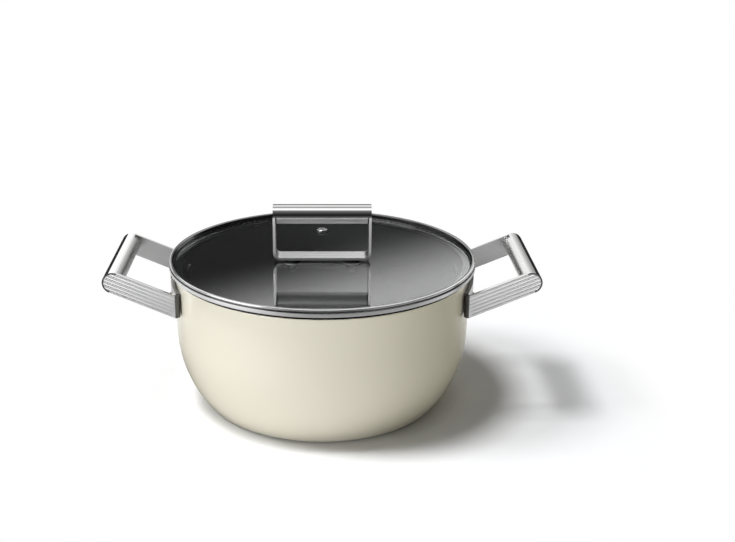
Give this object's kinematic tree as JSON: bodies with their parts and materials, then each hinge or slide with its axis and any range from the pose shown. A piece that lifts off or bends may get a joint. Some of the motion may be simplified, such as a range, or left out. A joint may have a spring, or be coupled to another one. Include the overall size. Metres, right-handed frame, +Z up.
{
  "type": "casserole with glass lid",
  "caption": "Wide round pot with side handles, coated outside and inside, and a flat glass lid with a steel edge ring, a bar handle and a steam vent.",
  "frame": {"origin": "centre of the base, on the plane the pot stands on", "axes": "+Z up, +X towards the right side handle, -Y the front; the steam vent is at +Y"},
  "size_m": [0.346, 0.251, 0.164],
  "materials": {
    "bare_aluminium": "machined satin",
    "cream_coat": "smooth satin-gloss cream coat",
    "black_lining": "satin black non-stick coat",
    "base_steel": "turned, fine rings",
    "lid_glass": "clear, polished",
    "ring_steel": "rolled, polished",
    "black_silicone": "matte",
    "brushed_steel": "brushed along the strip",
    "satin_steel": "satin",
    "polished_steel": "polished",
    "coated_rivet": "satin black coat"
  },
  "bodies": {
    "pot": {"pot_body": "bare_aluminium", "outer_enamel": "cream_coat", "nonstick_lining": "black_lining", "induction_base": "base_steel", "left_handle_bracket": "brushed_steel", "left_grip_core": "satin_steel", "left_grip_cover": "polished_steel", "left_handle_rivet_front": "coated_rivet", "left_handle_rivet_rear": "coated_rivet", "right_handle_bracket": "brushed_steel", "right_grip_core": "satin_steel", "right_grip_cover": "polished_steel", "right_handle_rivet_front": "coated_rivet", "right_handle_rivet_rear": "coated_rivet"},
    "lid": {"lid_glass": "lid_glass", "lid_ring": "ring_steel", "glass_gasket": "black_silicone", "vent_eyelet": "polished_steel", "vent_washer": "black_silicone", "lid_handle_bracket": "brushed_steel", "lid_grip_core": "satin_steel", "lid_grip_cover": "polished_steel", "left_lid_stud": "satin_steel", "left_lid_spacer": "black_silicone", "left_seal_washer": "black_silicone", "left_steel_washer": "satin_steel", "left_cap_nut": "polished_steel", "right_lid_stud": "satin_steel", "right_lid_spacer": "black_silicone", "right_seal_washer": "black_silicone", "right_steel_washer": "satin_steel", "right_cap_nut": "polished_steel"}
  },
  "joints": [
    {"name": "lid_lift", "type": "slide", "parent": "pot", "child": "lid", "axis": [0, 0, 1], "range_m": [0, 0.15]}
  ]
}
